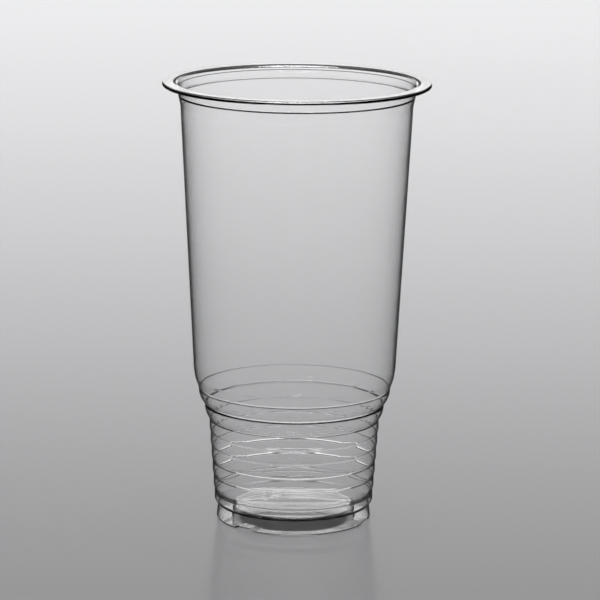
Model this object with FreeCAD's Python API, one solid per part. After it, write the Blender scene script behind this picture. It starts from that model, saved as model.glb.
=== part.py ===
import FreeCAD, Part
import math
import os

# A tall clear cold-drink cup, thermoformed in one piece from one thin plastic sheet.
# The sheet runs without a break from the middle of the raised base, out over a flat
# standing ring, up a short foot, through nested stacking rings and a stepped shoulder,
# up a long tapered wall to a slim neck, and ends in a flat rolled rim.
# The axis is +Z, and the origin is the middle of the surface the cup stands on.
# Every length is in millimetres.

# Sheet and overall size
wall = 0.36
height = 178.0
rim_radius = 53.5

# Raised base inside the standing ring
stand_inner_radius = 23.5
pushup_height = 5.6
pushup_draft_deg = 6.5
pushup_corner = 1.4

# Foot: it leans outwards a little towards the table
foot_radius = 31.2
foot_lean = 0.6
foot_height = 6.4
foot_edge = 0.8

# Air notches through the standing ring
notch_count = 3
notch_first_deg = -136.0
notch_span_deg = 17.0
notch_height = 1.2

# Bead above the foot, and the narrow band on top of it at the same radius
bead_growth = 0.85
bead_height = 4.1
bead_roll = 2.0
band_height = 1.5
band_roll = 0.6

# Lower stacking rings: each stands out a little further than the one below it
ring_count = 5
ring_pitch = 5.86
ring_growth = 0.43
ring_roll = 2.1

# Two wide rings that step out under the shoulder
step_pitch = 6.4
step_growths = (1.95, 2.5)
step_rolls = (3.3, 4.4)

# Crease between two rings: the upper ring tucks in by this much, and inside the cup
# the sheet turns back over a height of crease_slope times its thickness
crease = 0.22
crease_slope = 1.4

# Shoulder, from which the main wall runs straight to the neck
shoulder_growth = 1.8
shoulder_roll = 5.8

# Rolled rim: a flat flange whose edge turns down and back under itself
rim_thickness = 1.55
flange_width = 6.4
flare_radius = 2.3
lip_length = 2.2

# Neck under the rim, from the top down: a straight collar, a crease, and a slim band
# that flares out from the top of the wall
collar_height = 3.2
neck_crease = 0.45
neck_crease_height = 1.2
neck_band_flare = 0.9
neck_band_height = 4.3

# Round stretches are drawn as the fewest chords that keep this close to the true arc
chord_sag = 0.16


class Skin:
    """One face of the sheet as a half section, drawn in the XZ plane from the base up."""

    def __init__(self, radius, z):
        self.here = FreeCAD.Vector(radius, 0, z)
        self.edges = []

    def line(self, radius, z):
        there = FreeCAD.Vector(radius, 0, z)
        self.edges.append(Part.makeLine(self.here, there))
        self.here = there

    def arc(self, centre_radius, centre_z, radius, z):
        """Arc to a point, the short way round its centre, in even chords."""
        bend = math.hypot(self.here.x - centre_radius, self.here.z - centre_z)
        start = math.atan2(self.here.z - centre_z, self.here.x - centre_radius)
        end = math.atan2(z - centre_z, radius - centre_radius)
        sweep = math.remainder(end - start, 2 * math.pi)
        chords = math.ceil(abs(sweep) / (2 * math.acos(1 - chord_sag / bend)))
        for i in range(1, chords):
            turn = start + sweep * i / chords
            self.line(centre_radius + bend * math.cos(turn), centre_z + bend * math.sin(turn))
        self.line(radius, z)

    def face_to_axis(self):
        """Area between this skin and the axis, closed by a level line at the top."""
        bottom = self.edges[0].Vertexes[0].Point
        top = FreeCAD.Vector(0, 0, self.here.z)
        closing = [Part.makeLine(self.here, top), Part.makeLine(top, bottom)]
        return Part.Face(Part.Wire(self.edges + closing))


def ring_rows():
    """Rings from the foot up: height of the crease below, upright radius, rise of the roll."""
    radius = foot_radius + bead_growth
    z = foot_height
    rows = [(z, radius, bead_roll)]
    z += bead_height
    rows.append((z, radius, band_roll))
    z += band_height
    for i in range(ring_count):
        radius += ring_growth
        rows.append((z, radius, ring_roll))
        z += ring_pitch
    for growth, roll in zip(step_growths, step_rolls):
        radius += growth
        rows.append((z, radius, roll))
        z += step_pitch
    rows.append((z, radius + shoulder_growth, shoulder_roll))
    return rows


def draw_base(s, inset):
    """Flat plate, rounded corner and steep side of the raised base, down to the standing ring."""
    draft = math.radians(pushup_draft_deg)
    slope = math.tan(draft)
    corner = pushup_corner - wall + inset
    plate_z = pushup_height - wall + inset
    corner_z = plate_z - corner
    turn_z = corner_z + corner * math.sin(draft)
    side_r = stand_inner_radius + inset / math.cos(draft)
    turn_r = side_r - slope * turn_z
    corner_r = turn_r - corner * math.cos(draft)
    s.line(corner_r, plate_z)
    s.arc(corner_r, corner_z, turn_r, turn_z)
    s.line(side_r - slope * inset, inset)


def draw_foot(s, inset):
    """Flat standing ring and its rounded outer edge."""
    edge_r = foot_radius - foot_edge
    s.line(edge_r, inset)
    s.arc(edge_r, foot_edge, foot_radius - inset, foot_edge)


def draw_ring(s, inset, crease_z, crease_r, radius, rise):
    """Roll out from the crease about one centre for both faces, and stand upright."""
    depth = radius - crease_r
    bend = (rise * rise + depth * depth) / (2 * depth)
    centre_r = radius - bend
    centre_z = crease_z + rise
    start_r = crease_r - inset
    drop = math.sqrt((bend - inset) ** 2 - (start_r - centre_r) ** 2)
    s.line(start_r, centre_z - drop)
    s.arc(centre_r, centre_z, radius - inset, centre_z)


def collar_radius():
    return rim_radius - flange_width


def draw_neck(s, inset):
    """Tapered wall, the slim flared band, the crease over it and the collar."""
    flare_z = height - flare_radius
    crease_z = flare_z - collar_height
    band_z = crease_z - neck_crease_height
    band_r = collar_radius() - inset
    s.line(band_r - neck_band_flare, band_z - neck_band_height)
    s.line(band_r, band_z)
    s.line(band_r - neck_crease, crease_z)
    s.line(band_r, flare_z)


def skin(inset):
    """Face of the sheet that lies inset from its outer side, up to the rim's collar."""
    s = Skin(0, pushup_height - wall + inset)
    draw_base(s, inset)
    draw_foot(s, inset)
    rows = ring_rows()
    crease_r = foot_radius - foot_lean
    for i, (crease_z, radius, rise) in enumerate(rows):
        draw_ring(s, inset, crease_z, crease_r, radius, rise)
        if i + 1 < len(rows):
            ledge_z = rows[i + 1][0]
            s.line(radius - inset, ledge_z - inset * crease_slope)
            crease_r = radius - crease
    draw_neck(s, inset)
    return s


def notch_wedge(angle_deg, extra):
    """Wedge that lifts the standing ring, with its sides and top moved out by extra."""
    half = math.radians(notch_span_deg) / 2
    reach = foot_radius + foot_edge
    start = stand_inner_radius - pushup_corner
    side = extra / math.cos(half)
    points = [
        FreeCAD.Vector(start, -start * math.tan(half) - side, -1),
        FreeCAD.Vector(reach, -reach * math.tan(half) - side, -1),
        FreeCAD.Vector(reach, reach * math.tan(half) + side, -1),
        FreeCAD.Vector(start, start * math.tan(half) + side, -1),
    ]
    outline = Part.makePolygon(points + points[:1])
    wedge = Part.Face(outline).extrude(FreeCAD.Vector(0, 0, 1 + notch_height + extra))
    wedge.rotate(FreeCAD.Vector(0, 0, 0), FreeCAD.Vector(0, 0, 1), angle_deg)
    return wedge


def turned(face):
    return face.revolve(FreeCAD.Vector(0, 0, 0), FreeCAD.Vector(0, 0, 1), 360)


def make_body():
    """Sheet from the base to the collar: the outer form less the inner form."""
    outer = turned(skin(0).face_to_axis())
    inner = turned(skin(wall).face_to_axis())
    for i in range(notch_count):
        angle = notch_first_deg + i * 360.0 / notch_count
        outer = outer.cut(notch_wedge(angle, 0))
        inner = inner.cut(notch_wedge(angle, wall))
    return outer.cut(inner)


def make_rim():
    """Flare, flat flange and tucked lip, as one strip of sheet turned about the axis."""
    half = rim_thickness / 2
    roll_r = rim_radius - half
    flare_z = height - flare_radius
    collar_r = collar_radius()
    flare_r = collar_r + flare_radius - wall
    lip_r = roll_r - lip_length
    under = height - rim_thickness
    strip = Skin(collar_r - wall, flare_z)
    strip.arc(flare_r, flare_z, flare_r, height)
    strip.line(roll_r, height)
    strip.arc(roll_r, height - half, rim_radius, height - half)
    strip.arc(roll_r, height - half, roll_r, under)
    strip.line(lip_r, under)
    strip.line(lip_r, under + wall)
    strip.line(roll_r, under + wall)
    strip.arc(roll_r, height - half, rim_radius - wall, height - half)
    strip.arc(roll_r, height - half, roll_r, height - wall)
    strip.line(flare_r, height - wall)
    strip.arc(flare_r, flare_z, collar_r, flare_z)
    strip.line(collar_r - wall, flare_z)
    return turned(Part.Face(Part.Wire(strip.edges)))


def main():
    cup = make_body().fuse(make_rim()).removeSplitter()
    cup = cup.Solids[0] if len(cup.Solids) == 1 else cup
    print("solids", len(cup.Solids), "valid", cup.isValid())
    print("volume_mm3", round(cup.Volume, 1), "area_mm2", round(cup.Area, 1))
    box = cup.optimalBoundingBox(False, False)
    print("size", round(box.XLength, 3), round(box.YLength, 3), round(box.ZLength, 3))
    print("low", round(box.ZMin, 4))
    os.makedirs("parts", exist_ok=True)
    cup.exportStep("parts/cup.step")


main()
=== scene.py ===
import math

import bpy
from mathutils import Matrix, Vector


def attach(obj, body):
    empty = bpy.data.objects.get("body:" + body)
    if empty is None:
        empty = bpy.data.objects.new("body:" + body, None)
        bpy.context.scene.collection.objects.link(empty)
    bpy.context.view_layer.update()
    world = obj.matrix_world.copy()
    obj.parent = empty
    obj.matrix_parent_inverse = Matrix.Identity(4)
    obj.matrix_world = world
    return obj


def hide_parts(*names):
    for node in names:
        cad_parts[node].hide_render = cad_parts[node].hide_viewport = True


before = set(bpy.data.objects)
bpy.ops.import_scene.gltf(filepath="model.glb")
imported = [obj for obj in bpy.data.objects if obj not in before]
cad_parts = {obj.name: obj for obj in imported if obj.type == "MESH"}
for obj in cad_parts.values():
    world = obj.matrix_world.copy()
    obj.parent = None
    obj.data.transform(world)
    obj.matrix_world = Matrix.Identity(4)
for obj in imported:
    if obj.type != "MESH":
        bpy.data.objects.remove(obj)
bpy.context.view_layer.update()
MM = 0.001

# Camera, as fitted to the photograph of 600 by 600 pixels
IMAGE_WIDTH = 600
FOCAL_PIXELS = 3400.0
SENSOR_WIDTH = 36.0
CAMERA_BACK = 1.335
CAMERA_UP = 0.375
CAMERA_DOWN_DEG = 12.07
CAMERA_ROLL_DEG = 0.5
AXIS_LEFT_PIXELS = 4.8
CLIP_START = 0.05
CLIP_END = 60

# Sheet of the cup. All sizes of the cup are in millimetres, and rows are added to its straight
# stretches. Between the two heights of PLAIN_WALL there is only the tapered wall.
WALL = 0.36
SEGMENTS = 160
BEND_STEP_DEG = 12.0
SUPPORT = 0.35
ROW_STEP = 8.0
MERGE_DISTANCE = 0.002
PLAIN_WALL = (100.0, 150.0)

# Raised base and foot
STAND_INNER_RADIUS = 24.6
STAND_INNER_ROUND = 0.45
PLATE_HEIGHT = 5.0
PLATE_CORNER = 0.5
BASE_DRAFT_DEG = 3.0
FOOT_RADIUS = 31.2
FOOT_EDGE = 0.8
FOOT_LEAN = 0.6
FOOT_HEIGHT = 6.4

# Air notches under the foot, each pressed up in two steps of which the second is narrower
NOTCH_ANGLES_DEG = (-130.5, -19.0, 104.0)
NOTCH_SPANS_DEG = (17.5, 14.0)
NOTCH_START = 22.14
NOTCH_TOP = 4.0
NOTCH_SQUEEZE = 0.88

# Rings: outward step from the ring below, height of the ring, rise of its rolled lower edge
BEAD = (0.85, 4.1, 2.0)
BAND = (0.0, 1.5, 0.6)
RINGS = 5
RING = (0.43, 5.86, 2.1)
WIDE_RINGS = ((1.95, 6.4, 5.4), (2.5, 6.4, 5.9))
SHOULDER = (1.8, 0.0, 8.5)

# Crease over each ring: the sheet tucks in at a lean, and both of its bends are rounded.
# From the wide rings up, a crease has only a share of that tuck.
TUCK = 0.3
TUCK_LEAN_DEG = 45.0
TUCK_ROUND = 0.5
CREASE_ROOM = 0.2
WIDE_SHARE = 0.2

# Grooves that thin the sheet from outside: number of the crease from the foot up, and depth
FRONT_GROOVES = ((3, 0.08), (4, 0.08), (8, 0.2), (9, 0.2))
BACK_GROOVES = ((3, 0.13), (4, 0.13))
GROOVE_HALF_HEIGHT = 0.16
GROOVE_SKIN = 0.12

# Neck and rim, from the top down
RIM_RADIUS = 53.49
RIM_HEIGHT = 178.0
RIM_THICKNESS = 1.55
FLANGE_WIDTH = 6.4
FLARE_ROUND = 1.94
LIP_LENGTH = 2.2
COLLAR_HEIGHT = 2.4
NECK_CREASE = 0.36
NECK_CREASE_HEIGHT = 0.7
NECK_CREASE_ROUND = 0.25
NECK_BAND_FLARE = 0.9
NECK_BAND_HEIGHT = 5.1
NECK_STEP = 0.1
NECK_STEP_HEIGHT = 0.35
NECK_STEP_ROUND = 0.4

# Clear plastic. A painted shade of 1 is clear, and painted shade makes the sheet darkest where it
# is seen edge on.
PLASTIC_ROUGHNESS = 0.02
PLASTIC_IOR = 1.45
EDGE_ON = (0.74, 0.93)
EDGE_PAINTED_SHADE = 0.12

# Painted shade along sharp bends, which turn the light away: places and half widths as on the
# cup, in millimetres, and shade levels. A line on the rim lies this far below its top or inside
# it, and most lines fade out between their half width and LINE_FADE times that.
LINE_FADE = 1.6
ROLL_BELOW_TOP = 0.95
ROLL_HALF = (0.2, 0.35)
ROLL_WIDENS = 0.006
ROLL_INSIDE = (0.8, 0.5)
ROLL_PAINTED_SHADE = 0.0
FLARE_INSIDE = 4.9
FLARE_HALF = 0.4
FLARE_BELOW_TOP = (1.6, 1.3)
FLARE_PAINTED_SHADE = 0.01
FLARE_ROUGHNESS = 0.6
COLLAR_LINE_BELOW_TOP = 1.9
COLLAR_LINE_HALF = 0.12
COLLAR_LINE_RADIUS = (47.8, 48.0)
COLLAR_LINE_PAINTED_SHADE = 0.3
RING_LINES = ((11.2, 0.8), (17.8, 0.25), (23.7, 0.25), (41.2, 0.25))
RING_PAINTED_SHADE = 0.25
FOOT_HALF = 0.35
FOOT_PAINTED_SHADE = 0.02
FOOT_BACK_REACH = (3.0, 16.0)
FOOT_BACK_SHARE = 0.7
BACK_FADE = (-20.0, 0.0)
FRONT_FADE = (-2.0, 0.0)
SIDE_FADE = 1.0

# Shade under the raised base: a disc, a little towards the front, dims the light that passes
SHADE_RADIUS = 21.6
SHADE_FORWARD = 2.0
SHADE_HEIGHT = 6.0
SHADE_FADES = (1.0, 2.0)
SHADE_LEFT = 0.22

# Floor in metres: its stops of painted light run from front to back, each with a place from 0 to
# 1 and a grey
FLOOR_SIZE = 40
FLOOR_GAP = 0.0001
FLOOR_FRONT = -0.6
FLOOR_BACK = 1.8
FLOOR_LIGHT_STOPS = (
    (0.0, 0.48), (0.09, 0.36), (0.16, 0.24), (0.204, 0.208), (0.237, 0.235), (0.273, 0.266),
    (0.316, 0.31), (0.384, 0.379), (0.503, 0.466), (0.668, 0.55), (0.903, 0.61),
)
FLOOR_BLUE = 1.025
FLOOR_ROUGHNESS = 0.2
FLOOR_SPECULAR = 0.05
# Painted shade: outside a pool of this half width, the floor is painted darker towards the sides.
POOL_HALF_WIDTH = 0.2
POOL_EDGE = 0.6
SIDE_PAINTED_SHADE = 0.85

# The floor is dimmer in mirrored light, and makes up for light lost in four surfaces of sheet
FLOOR_IN_REFLECTIONS = 0.1
FLOOR_THROUGH_SHEET = 1.06
SHEET_SURFACES = 4.0

# Surroundings behind the cup, by the height of the direction of view
LOW_BAND = (0.16, 0.2)
LOW_LIGHT = 0.85
SCREEN_FOOT = (0.258, 0.276)
SCREEN_FOOT_LIGHT = 0.45
SCREEN_LIGHT = 1.4
SCREEN_TOP = (0.33, 0.45)
SCREEN_BEHIND = (0.0, 0.2)
SCREEN_HALF_WIDTH = (0.12, 0.24)
ROOM_LIGHT = 0.02

# Lights
OVERHEAD_SPREAD_DEG = 30.0
OVERHEAD_BEHIND_DEG = 5.0
OVERHEAD_POWER = 3.6
SOFTBOX_PLACE = (0.0, 0.1, 1.6)
SOFTBOX_AIM = (0.0, 0.0, 0.1)
SOFTBOX_SIZE = 0.8
SOFTBOX_POWER = 20.0
BOUNCES = 24
GLOSSY_BOUNCES = 12


def base_corners():
    """Middle of the raised base, its edge, and the standing ring: (radius, height, round)."""
    edge_radius = STAND_INNER_RADIUS - PLATE_HEIGHT * math.tan(math.radians(BASE_DRAFT_DEG))
    return [
        (0.0, PLATE_HEIGHT, 0.0),
        (edge_radius, PLATE_HEIGHT, PLATE_CORNER),
        (STAND_INNER_RADIUS, 0.0, STAND_INNER_ROUND),
        (FOOT_RADIUS, 0.0, FOOT_EDGE),
    ]


def roll_out(crease_radius, crease_height, radius, rise, lean_in, room):
    """Crease, and the rounded corner by which the sheet rolls out of it and stands upright."""
    depth = radius - crease_radius
    lean_out = 2 * math.atan(depth / (rise + room))
    crease_round = room / math.tan((lean_in + lean_out) / 2)
    roll_round = (depth / math.sin(lean_out) - room) / math.tan(lean_out / 2)
    return [
        (crease_radius, crease_height, crease_round),
        (radius, crease_height + depth / math.tan(lean_out), roll_round),
    ]


def ring_corners():
    """Stacking rings from the foot up to the shoulder, with three corners for each ring."""
    rings = [BEAD, BAND] + [RING] * RINGS + list(WIDE_RINGS) + [SHOULDER]
    corners = []
    radius = FOOT_RADIUS
    height = FOOT_HEIGHT
    crease_radius = FOOT_RADIUS - FOOT_LEAN
    lean_in = math.atan(FOOT_LEAN / FOOT_HEIGHT)
    room = CREASE_ROOM
    for i, (step, pitch, rise) in enumerate(rings):
        radius += step
        corners += roll_out(crease_radius, height, radius, rise, lean_in, room)
        if i + 1 < len(rings):
            height += pitch
            lean_in = math.radians(TUCK_LEAN_DEG)
            share = 1.0 if i < RINGS + 1 else WIDE_SHARE
            room = CREASE_ROOM * share
            crease_radius = radius - TUCK * share
            top = height - TUCK * share / math.tan(lean_in)
            corners.append((radius, top, TUCK_ROUND * share))
    return corners


def neck_corners():
    """Top of the wall, the flared band, the crease and the collar."""
    collar = RIM_RADIUS - FLANGE_WIDTH
    crease_height = RIM_HEIGHT - FLARE_ROUND - WALL - COLLAR_HEIGHT
    band_height = crease_height - NECK_CREASE_HEIGHT
    wall_height = band_height - NECK_BAND_HEIGHT
    wall_radius = collar - NECK_BAND_FLARE
    return [
        (wall_radius, wall_height, NECK_STEP_ROUND),
        (wall_radius - NECK_STEP, wall_height + NECK_STEP_HEIGHT, NECK_STEP_ROUND),
        (collar, band_height, NECK_CREASE_ROUND),
        (collar - NECK_CREASE, crease_height, NECK_CREASE_ROUND),
    ]


def rim_corners():
    """Underside of the flange, the roll and the tucked lip."""
    under = RIM_HEIGHT - WALL
    edge = RIM_RADIUS - WALL
    lip = RIM_HEIGHT - RIM_THICKNESS + WALL
    roll = (under - lip) / 2
    return [
        (RIM_RADIUS - FLANGE_WIDTH, under, FLARE_ROUND),
        (edge, under, roll),
        (edge, lip, roll),
        (edge - roll - LIP_LENGTH, lip, 0.0),
    ]


def rounded(corners):
    """Points along a line through the corners, each rounded to its own radius."""
    points = [Vector(corners[0][:2])]
    for before, corner, after in zip(corners, corners[1:], corners[2:]):
        here = Vector(corner[:2])
        way_in = (here - Vector(before[:2])).normalized()
        way_out = (Vector(after[:2]) - here).normalized()
        turn = way_in.angle_signed(way_out)
        back = abs(math.tan(turn / 2)) * corner[2]
        start = here - way_in * back
        side = Vector((way_in.y, -way_in.x)) * math.copysign(corner[2], turn)
        centre = start + side
        steps = max(2, math.ceil(abs(math.degrees(turn)) / BEND_STEP_DEG))
        for i in range(steps + 1):
            points.append(centre - Matrix.Rotation(-turn * i / steps, 2) @ side)
    points.append(Vector(corners[-1][:2]))
    return points


def with_rows(points):
    """The same line with rows added along its straight stretches, close to each end."""
    rows = [points[0]]
    for start, end in zip(points, points[1:]):
        length = (end - start).length
        if length > 4 * SUPPORT:
            inner = max(1, round((length - 2 * SUPPORT) / ROW_STEP))
            span = length - 2 * SUPPORT
            for i in range(inner + 1):
                rows.append(start.lerp(end, (SUPPORT + span * i / inner) / length))
        rows.append(end)
    return rows


def section_points():
    corners = base_corners() + ring_corners() + neck_corners() + rim_corners()
    return with_rows(rounded(corners))


def deselect():
    if bpy.context.object and bpy.context.object.mode == "EDIT":
        bpy.ops.object.mode_set(mode="OBJECT")
    bpy.ops.object.select_all(action="DESELECT")


def select_vertices(piece, wanted):
    """Selects, in edit mode, the vertices whose place passes the test."""
    bpy.ops.object.mode_set(mode="EDIT")
    bpy.ops.mesh.select_mode(type="VERT")
    bpy.ops.mesh.select_all(action="DESELECT")
    bpy.ops.object.mode_set(mode="OBJECT")
    for vertex in piece.data.vertices:
        vertex.select = wanted(vertex.co)
    bpy.ops.object.mode_set(mode="EDIT")


def draw_section():
    """Half section of the sheet: one vertex on the axis, extruded from point to point."""
    points = section_points()
    first = points[0] * MM
    bpy.ops.mesh.primitive_plane_add(size=MM, location=(0, 0, 0))
    section = bpy.context.object
    bpy.ops.object.mode_set(mode="EDIT")
    bpy.ops.mesh.select_all(action="SELECT")
    bpy.ops.mesh.merge(type="CENTER")
    bpy.ops.transform.translate(value=(first.x, 0, first.y))
    for start, end in zip(points, points[1:]):
        step = (end - start) * MM
        bpy.ops.mesh.extrude_region_move(TRANSFORM_OT_translate={"value": (step.x, 0, step.y)})
    return section


def spin_sheet():
    """Turns the section about the axis into one closed sheet with no thickness."""
    sheet = draw_section()
    bpy.ops.mesh.select_all(action="SELECT")
    bpy.ops.mesh.spin(steps=SEGMENTS, angle=2 * math.pi, center=(0, 0, 0), axis=(0, 0, 1))
    bpy.ops.mesh.select_all(action="SELECT")
    bpy.ops.mesh.remove_doubles(threshold=MERGE_DISTANCE * MM)
    bpy.ops.mesh.normals_make_consistent(inside=False)
    bpy.ops.object.mode_set(mode="OBJECT")
    return sheet


def face_outwards(sheet):
    """Turns the sheet's normals away from the axis where they point at it."""
    low, high = PLAIN_WALL
    wall = [face for face in sheet.data.polygons if low * MM < face.center.z < high * MM]
    outward = sum(face.normal.dot(Vector((face.center.x, face.center.y, 0))) for face in wall)
    if outward < 0:
        bpy.ops.object.mode_set(mode="EDIT")
        bpy.ops.mesh.select_all(action="SELECT")
        bpy.ops.mesh.flip_normals()
        bpy.ops.object.mode_set(mode="OBJECT")


def press_notch(sheet, angle_deg, span_deg):
    """Squeezes the foot upwards over a short stretch, as one step of a notch."""
    half = math.radians(span_deg) / 2
    way = Vector((math.cos(math.radians(angle_deg)), math.sin(math.radians(angle_deg))))

    def in_notch(place):
        flat = Vector((place.x, place.y))
        on_foot = place.z < NOTCH_TOP * MM and flat.length > NOTCH_START * MM
        return on_foot and abs(way.angle(flat)) < half

    select_vertices(sheet, in_notch)
    top = Vector((0, 0, NOTCH_TOP * MM))
    bpy.ops.transform.resize(value=(1, 1, NOTCH_SQUEEZE), center_override=top)
    bpy.ops.object.mode_set(mode="OBJECT")


def thicken(sheet):
    """Gives the sheet its thickness, inwards from its outer side."""
    modifier = sheet.modifiers.new("Thickness", "SOLIDIFY")
    modifier.thickness = WALL * MM
    modifier.offset = -1
    modifier.use_even_offset = True
    bpy.ops.object.modifier_apply(modifier=modifier.name)


def creases():
    """Radius and height of the crease under each ring, from the foot up."""
    return [Vector(corner[:2]) for corner in ring_corners()[::3]]


def deepen_groove(cup, crease, depth, at_back):
    """Thins the sheet in one crease from outside, which bends the light seen through it."""

    def in_groove(place):
        near = abs(place.z - crease.y * MM) < GROOVE_HALF_HEIGHT * MM
        outside = Vector((place.x, place.y)).length > (crease.x - GROOVE_SKIN) * MM
        return near and outside and (place.y > 0) == at_back

    select_vertices(cup, in_groove)
    share = 1 - depth / crease.x
    bpy.ops.transform.resize(value=(share, share, 1), center_override=(0, 0, 0))
    bpy.ops.object.mode_set(mode="OBJECT")


def make_cup():
    """The cup in one piece: turned sheet, air notches, thickness and grooves."""
    cup = spin_sheet()
    cup.name = cup.data.name = "clear_cup"
    face_outwards(cup)
    for angle_deg in NOTCH_ANGLES_DEG:
        for span_deg in NOTCH_SPANS_DEG:
            press_notch(cup, angle_deg, span_deg)
    thicken(cup)
    bends = creases()
    for grooves, at_back in ((FRONT_GROOVES, False), (BACK_GROOVES, True)):
        for number, depth in grooves:
            deepen_groove(cup, bends[number], depth, at_back)
    bpy.ops.object.shade_smooth()
    return cup


class Wiring:
    """Adds nodes to one node tree and links them, with a place in X, Y and Z to start from."""

    def __init__(self, tree, coordinates):
        self.nodes = tree.nodes
        self.links = tree.links
        place = self.nodes.new("ShaderNodeTexCoord")
        parts = self.nodes.new("ShaderNodeSeparateXYZ")
        self.links.new(place.outputs[coordinates], parts.inputs["Vector"])
        self.x = parts.outputs["X"]
        self.y = parts.outputs["Y"]
        self.z = parts.outputs["Z"]
        self.across = self.join("ABSOLUTE", self.x)

    def step(self, value, low, high, start=0.0, end=1.0):
        """Soft step from start to end while the value goes from low to high."""
        node = self.nodes.new("ShaderNodeMapRange")
        node.interpolation_type = "SMOOTHSTEP"
        node.inputs["From Min"].default_value = low
        node.inputs["From Max"].default_value = high
        node.inputs["To Min"].default_value = start
        node.inputs["To Max"].default_value = end
        self.links.new(value, node.inputs["Value"])
        return node.outputs["Result"]

    def join(self, kind, first, second=0.0):
        """One sum, product or the like, of values that are linked or plain numbers."""
        node = self.nodes.new("ShaderNodeMath")
        node.operation = kind
        for socket, value in zip(node.inputs, (first, second)):
            if isinstance(value, float):
                socket.default_value = value
            else:
                self.links.new(value, socket)
        return node.outputs["Value"]

    def times(self, first, *others):
        """Product of all the values."""
        for other in others:
            first = self.join("MULTIPLY", first, other)
        return first

    def distance(self, x, y):
        """Distance from the axis of a place at x and y."""
        level = self.nodes.new("ShaderNodeCombineXYZ")
        self.links.new(x, level.inputs["X"])
        self.links.new(y, level.inputs["Y"])
        length = self.nodes.new("ShaderNodeVectorMath")
        length.operation = "LENGTH"
        self.links.new(level.outputs["Vector"], length.inputs[0])
        return length.outputs["Value"]

    def line_at(self, value, middle, half):
        """Mask of a line of some half width in millimetres, with soft edges."""
        off = self.join("ABSOLUTE", self.join("SUBTRACT", value, middle * MM))
        return self.step(off, half * MM, LINE_FADE * half * MM, 1.0, 0.0)

    def painted_shade_where(self, where, painted_shade):
        """Painted shade where the mask is 1, and clear where it is 0."""
        return self.step(where, 0.0, 1.0, 1.0, painted_shade)


def roll_shade_line(sheet, radius):
    """Mask of the painted shade line round the outer edge of the rim, which widens towards both
    sides.
    """
    high = (RIM_HEIGHT - ROLL_BELOW_TOP) * MM
    wider = sheet.join("MULTIPLY", sheet.across, ROLL_WIDENS)
    off = sheet.join("ABSOLUTE", sheet.join("SUBTRACT", sheet.z, high))
    off = sheet.join("SUBTRACT", off, wider)
    line = sheet.step(off, ROLL_HALF[0] * MM, ROLL_HALF[1] * MM, 1.0, 0.0)
    start, end = [(RIM_RADIUS - inside) * MM for inside in ROLL_INSIDE]
    return sheet.times(line, sheet.step(radius, start, end))


def flare_shade_line(sheet, radius, behind):
    """Mask of the painted shade line where the flare meets the flange, at the back; it also
    roughens the sheet there.
    """
    low, high = [(RIM_HEIGHT - below) * MM for below in FLARE_BELOW_TOP]
    line = sheet.line_at(radius, RIM_RADIUS - FLARE_INSIDE, FLARE_HALF)
    return sheet.times(line, sheet.step(sheet.z, low, high), behind)


def collar_shade_line(sheet, radius, behind):
    """Mask of a fainter painted shade line at the top of the collar, at the back."""
    line = sheet.line_at(sheet.z, RIM_HEIGHT - COLLAR_LINE_BELOW_TOP, COLLAR_LINE_HALF)
    start, end = [edge * MM for edge in COLLAR_LINE_RADIUS]
    return sheet.times(line, behind, sheet.step(radius, start, end, 1.0, 0.0))


def ring_shade_lines(sheet, front):
    """Mask of painted shade lines in some creases of the rings, at the sides of the front half.
    """
    side = sheet.join("SUBTRACT", sheet.across, sheet.join("ABSOLUTE", sheet.y))
    sides = sheet.step(side, -SIDE_FADE * MM, SIDE_FADE * MM)
    lines = [sheet.line_at(sheet.z, middle, half) for middle, half in RING_LINES]
    joined = lines[0]
    for line in lines[1:]:
        joined = sheet.join("MAXIMUM", joined, line)
    return sheet.times(joined, front, sides)


def foot_shade_line(sheet, front):
    """Mask of the painted shade line in the crease over the foot, at the front and, softer, in
    the middle behind.
    """
    start, end = [reach * MM for reach in FOOT_BACK_REACH]
    near_middle = sheet.step(sheet.across, start, end, FOOT_BACK_SHARE, 0.0)
    line = sheet.line_at(sheet.z, FOOT_HEIGHT, FOOT_HALF)
    return sheet.times(line, sheet.join("MAXIMUM", front, near_middle))


def shade_under_base(sheet):
    """Share of the light that passes one surface: less in the disc under the raised base."""
    radius = sheet.distance(sheet.x, sheet.join("ADD", sheet.y, SHADE_FORWARD * MM))
    edge, top = SHADE_RADIUS * MM, SHADE_HEIGHT * MM
    edge_fade, top_fade = [fade * MM for fade in SHADE_FADES]
    above = sheet.step(sheet.z, top, top + top_fade, SHADE_LEFT, 1.0)
    outside = sheet.step(radius, edge, edge + edge_fade, SHADE_LEFT, 1.0)
    return sheet.join("MAXIMUM", above, outside)


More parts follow.
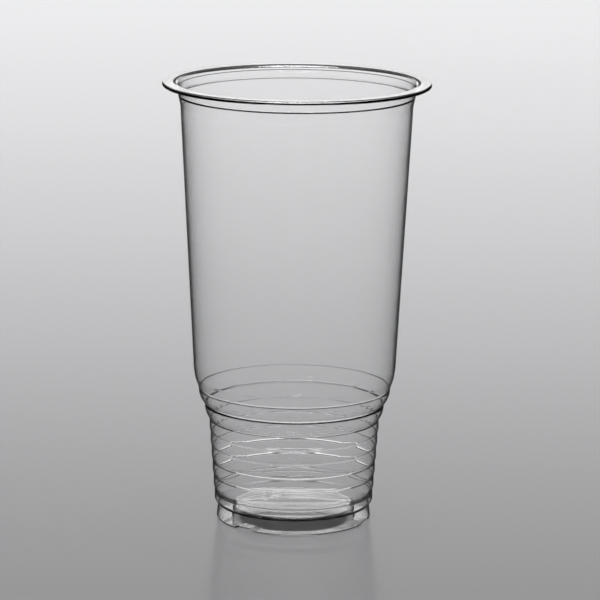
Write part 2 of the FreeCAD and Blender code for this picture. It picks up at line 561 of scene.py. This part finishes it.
def clear_plastic():
    """Clear glossy sheet. Shadow rays pass, because so thin a sheet casts hardly a shadow."""
    material = bpy.data.materials.new("clear_plastic")
    material.use_nodes = True
    sheet = Wiring(material.node_tree, "Object")
    nodes = sheet.nodes
    links = sheet.links
    plastic = nodes["Principled BSDF"]
    plastic.inputs["IOR"].default_value = PLASTIC_IOR
    plastic.inputs["Transmission Weight"].default_value = 1.0

    radius = sheet.distance(sheet.x, sheet.y)
    behind = sheet.step(sheet.y, BACK_FADE[0] * MM, BACK_FADE[1] * MM)
    front = sheet.step(sheet.y, FRONT_FADE[0] * MM, FRONT_FADE[1] * MM, 1.0, 0.0)
    flare = flare_shade_line(sheet, radius, behind)
    layer = nodes.new("ShaderNodeLayerWeight")
    # Base colour: painted shade where the sheet is seen edge on and along the bends, in place of
    # the light that the sheet turns away.
    painted_shade = sheet.times(
        sheet.step(layer.outputs["Facing"], *EDGE_ON, 1.0, EDGE_PAINTED_SHADE),
        sheet.painted_shade_where(roll_shade_line(sheet, radius), ROLL_PAINTED_SHADE),
        sheet.painted_shade_where(flare, FLARE_PAINTED_SHADE),
        sheet.painted_shade_where(collar_shade_line(sheet, radius, behind), COLLAR_LINE_PAINTED_SHADE),
        sheet.painted_shade_where(ring_shade_lines(sheet, front), RING_PAINTED_SHADE),
        sheet.painted_shade_where(foot_shade_line(sheet, front), FOOT_PAINTED_SHADE),
    )
    links.new(painted_shade, plastic.inputs["Base Color"])
    roughness = sheet.step(flare, 0.0, 1.0, PLASTIC_ROUGHNESS, FLARE_ROUGHNESS)
    links.new(roughness, plastic.inputs["Roughness"])

    through = nodes.new("ShaderNodeBsdfTransparent")
    links.new(shade_under_base(sheet), through.inputs["Color"])
    path = nodes.new("ShaderNodeLightPath")
    mix = nodes.new("ShaderNodeMixShader")
    links.new(path.outputs["Is Shadow Ray"], mix.inputs["Fac"])
    links.new(plastic.outputs["BSDF"], mix.inputs[1])
    links.new(through.outputs["BSDF"], mix.inputs[2])
    links.new(mix.outputs["Shader"], nodes["Material Output"].inputs["Surface"])
    return material


def painted_floor_light(floor):
    """Painted light: the floor's grey from front to back, which stands in for the fall of light
    over it, with a touch of blue.
    """
    along = floor.nodes.new("ShaderNodeMapRange")
    along.inputs["From Min"].default_value = FLOOR_FRONT
    along.inputs["From Max"].default_value = FLOOR_BACK
    floor.links.new(floor.y, along.inputs["Value"])
    shades = floor.nodes.new("ShaderNodeValToRGB")
    stops = shades.color_ramp.elements
    while len(stops) < len(FLOOR_LIGHT_STOPS):
        stops.new(0.5)
    for stop, (position, grey) in zip(stops, FLOOR_LIGHT_STOPS):
        stop.position = position
        stop.color = (grey, grey, grey * FLOOR_BLUE, 1)
    floor.links.new(along.outputs["Result"], shades.inputs["Fac"])
    return shades.outputs["Color"]


def floor_material():
    """Pale satin floor with painted light: painted brighter with distance behind the cup, and
    painted shade to the sides.
    """
    material = bpy.data.materials.new("pale_floor")
    material.use_nodes = True
    floor = Wiring(material.node_tree, "Object")
    satin = floor.nodes["Principled BSDF"]
    satin.inputs["Roughness"].default_value = FLOOR_ROUGHNESS
    satin.inputs["Specular IOR Level"].default_value = FLOOR_SPECULAR
    side = floor.step(floor.across, POOL_HALF_WIDTH, POOL_HALF_WIDTH + POOL_EDGE, 1.0, SIDE_PAINTED_SHADE)
    path = floor.nodes.new("ShaderNodeLightPath")
    mirrored = floor.step(path.outputs["Glossy Depth"], 0.0, 1.0, 1.0, FLOOR_IN_REFLECTIONS)
    depth = path.outputs["Transmission Depth"]
    seen_through = floor.step(depth, 0.0, SHEET_SURFACES, 1.0, FLOOR_THROUGH_SHEET)
    dim = floor.nodes.new("ShaderNodeMix")
    dim.data_type = "RGBA"
    dim.blend_type = "MULTIPLY"
    dim.inputs["Factor"].default_value = 1.0
    floor.links.new(painted_floor_light(floor), dim.inputs["A"])
    floor.links.new(floor.times(side, mirrored, seen_through), dim.inputs["B"])
    floor.links.new(dim.outputs["Result"], satin.inputs["Base Color"])
    return material


def make_floor():
    deselect()
    bpy.ops.mesh.primitive_plane_add(size=FLOOR_SIZE, location=(0, 0, -FLOOR_GAP))
    floor = bpy.context.object
    floor.name = floor.data.name = "floor"
    floor.data.materials.append(floor_material())


def make_camera():
    data = bpy.data.cameras.new("camera")
    data.sensor_width = SENSOR_WIDTH
    data.lens = FOCAL_PIXELS / IMAGE_WIDTH * SENSOR_WIDTH
    data.shift_x = AXIS_LEFT_PIXELS / IMAGE_WIDTH
    data.clip_start = CLIP_START
    data.clip_end = CLIP_END
    camera = bpy.data.objects.new("camera", data)
    bpy.context.scene.collection.objects.link(camera)
    tilt = Matrix.Rotation(math.radians(90 - CAMERA_DOWN_DEG), 4, "X")
    roll = Matrix.Rotation(math.radians(CAMERA_ROLL_DEG), 4, "Z")
    camera.matrix_world = Matrix.Translation((0, -CAMERA_BACK, CAMERA_UP)) @ tilt @ roll
    bpy.context.scene.camera = camera


def make_world():
    """Dim surroundings, with a bright screen behind the cup and a pale band below it."""
    world = bpy.data.worlds.new("studio")
    world.use_nodes = True
    studio = Wiring(world.node_tree, "Generated")
    low = studio.step(studio.z, *LOW_BAND, LOW_LIGHT, 0.0)
    screen = studio.times(
        studio.step(studio.z, *SCREEN_FOOT, SCREEN_FOOT_LIGHT, SCREEN_LIGHT),
        studio.step(studio.z, *SCREEN_TOP, 1.0, 0.0),
    )
    lit = studio.times(
        studio.join("ADD", low, screen),
        studio.step(studio.y, *SCREEN_BEHIND),
        studio.step(studio.across, *SCREEN_HALF_WIDTH, 1.0, 0.0),
    )
    surroundings = studio.nodes["Background"]
    studio.links.new(studio.join("ADD", lit, ROOM_LIGHT), surroundings.inputs["Strength"])
    surroundings.inputs["Color"].default_value = (1, 1, 1, 1)
    bpy.context.scene.world = world


def make_sun():
    """Broad soft light from above and behind, even over the whole floor."""
    data = bpy.data.lights.new("overhead_light", "SUN")
    data.angle = math.radians(OVERHEAD_SPREAD_DEG)
    data.energy = OVERHEAD_POWER
    light = bpy.data.objects.new("overhead_light", data)
    bpy.context.scene.collection.objects.link(light)
    light.rotation_euler = (math.radians(-OVERHEAD_BEHIND_DEG), 0, 0)
    light.visible_glossy = False
    light.visible_transmission = False


def make_softbox():
    """Square softbox over the cup, which shows only in the gloss of the sheet and the floor."""
    data = bpy.data.lights.new("softbox", "AREA")
    data.shape = "RECTANGLE"
    data.size = data.size_y = SOFTBOX_SIZE
    data.energy = SOFTBOX_POWER
    light = bpy.data.objects.new("softbox", data)
    bpy.context.scene.collection.objects.link(light)
    light.location = SOFTBOX_PLACE
    way = Vector(SOFTBOX_AIM) - Vector(SOFTBOX_PLACE)
    light.rotation_euler = way.to_track_quat("-Z", "Y").to_euler()
    light.visible_camera = False
    light.visible_diffuse = False


def set_light():
    make_world()
    make_sun()
    make_softbox()
    scene = bpy.context.scene
    scene.view_settings.view_transform = "Standard"
    scene.cycles.max_bounces = BOUNCES
    scene.cycles.transmission_bounces = BOUNCES
    scene.cycles.glossy_bounces = GLOSSY_BOUNCES
    scene.cycles.caustics_refractive = False
    scene.cycles.caustics_reflective = False


def dress(piece, material):
    piece.data.materials.clear()
    piece.data.materials.append(material)
    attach(piece, "root")


make_camera()
deselect()
cup = make_cup()
dress(cup, clear_plastic())
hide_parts("cup")
make_floor()
set_light()
